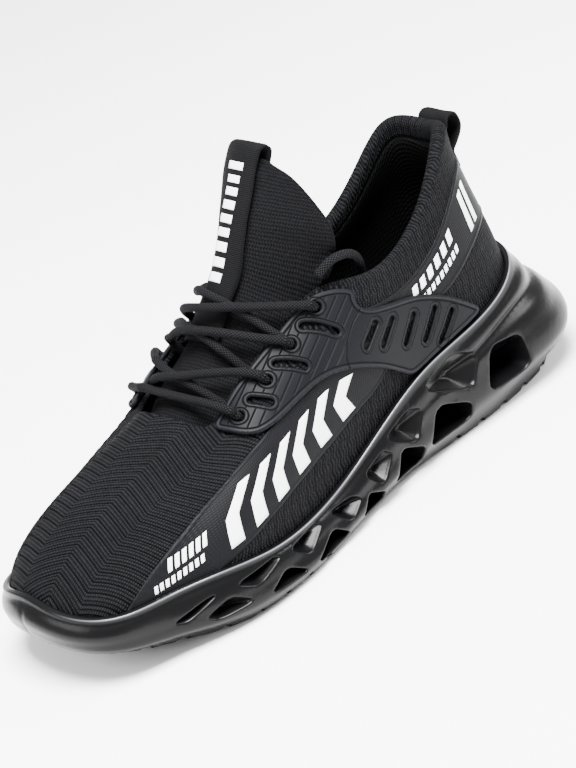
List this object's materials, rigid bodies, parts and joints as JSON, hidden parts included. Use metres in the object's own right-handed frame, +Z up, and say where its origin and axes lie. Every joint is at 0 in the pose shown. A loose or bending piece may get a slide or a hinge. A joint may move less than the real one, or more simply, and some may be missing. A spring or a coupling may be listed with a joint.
{
  "type": "safety sneaker",
  "caption": "Low knitted lace-up safety sneaker for the left foot: moulded cages beside the instep, a thick rubber sole with open pockets along its side, a padded tongue and pull tabs.",
  "frame": {"origin": "on the floor under the middle of the heel", "axes": "+X from the heel to the toe, +Y to the outer side of the left foot, +Z up"},
  "size_m": [0.3036, 0.1143, 0.1608],
  "materials": {
    "knit": "ribbed knit, matt",
    "rubber": "moulded, semi-gloss",
    "cage": "moulded, satin",
    "foam": "padded knit, matt",
    "webbing": "woven webbing, matt",
    "braid": "round braided cord, matt"
  },
  "bodies": {
    "root": {"upper": "knit", "sole": "rubber", "insole": "foam", "tongue": "foam", "cage_outer": "cage", "cage_inner": "cage", "tongue_pull_tab": "webbing", "heel_pull_tab": "webbing", "lace_bar": "braid", "lace_cross_front": "braid", "lace_cross_middle": "braid", "lace_cross_top": "braid", "lace_end": "braid"}
  },
  "joints": []
}
